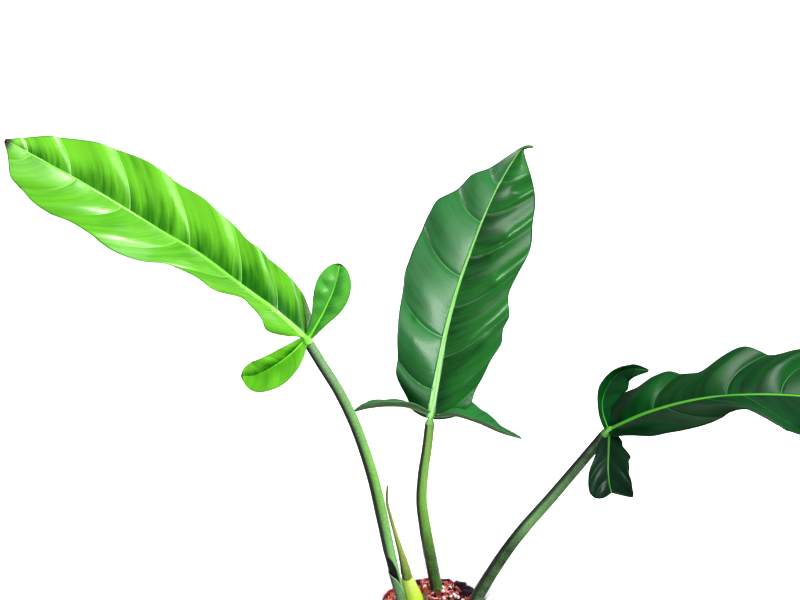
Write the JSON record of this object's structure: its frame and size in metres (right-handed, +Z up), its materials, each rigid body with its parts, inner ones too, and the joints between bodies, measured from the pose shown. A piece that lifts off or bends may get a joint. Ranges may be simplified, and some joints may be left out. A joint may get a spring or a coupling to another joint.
{
  "type": "potted philodendron lapoanum",
  "caption": "Young philodendron in a round nursery pot: long lobed leaves with quilted blades on arching petioles, a rolled new leaf in its sheath, and a chunky bark mix.",
  "frame": {"origin": "middle of the pot's base, on the surface that it stands on", "axes": "+Z up; +X to the right and +Y away from the viewer when the plant is seen from its front"},
  "size_m": [0.6486, 0.1878, 0.4845],
  "materials": {
    "pot": "satin",
    "soil": "matte",
    "petiole_left": "satin",
    "petiole_centre": "satin",
    "petiole_right": "satin",
    "new_leaf": "satin",
    "new_leaf_sheath": "satin",
    "old_sheath": "matte",
    "blade_left": "satin",
    "blade_centre": "satin",
    "blade_right": "satin"
  },
  "bodies": {
    "root": {"pot": "pot", "soil": "soil", "petiole_left": "petiole_left", "petiole_centre": "petiole_centre", "petiole_right": "petiole_right", "new_leaf": "new_leaf", "new_leaf_sheath": "new_leaf_sheath", "old_sheath": "old_sheath", "blade_left": "blade_left", "blade_centre": "blade_centre", "blade_right": "blade_right"}
  },
  "joints": []
}
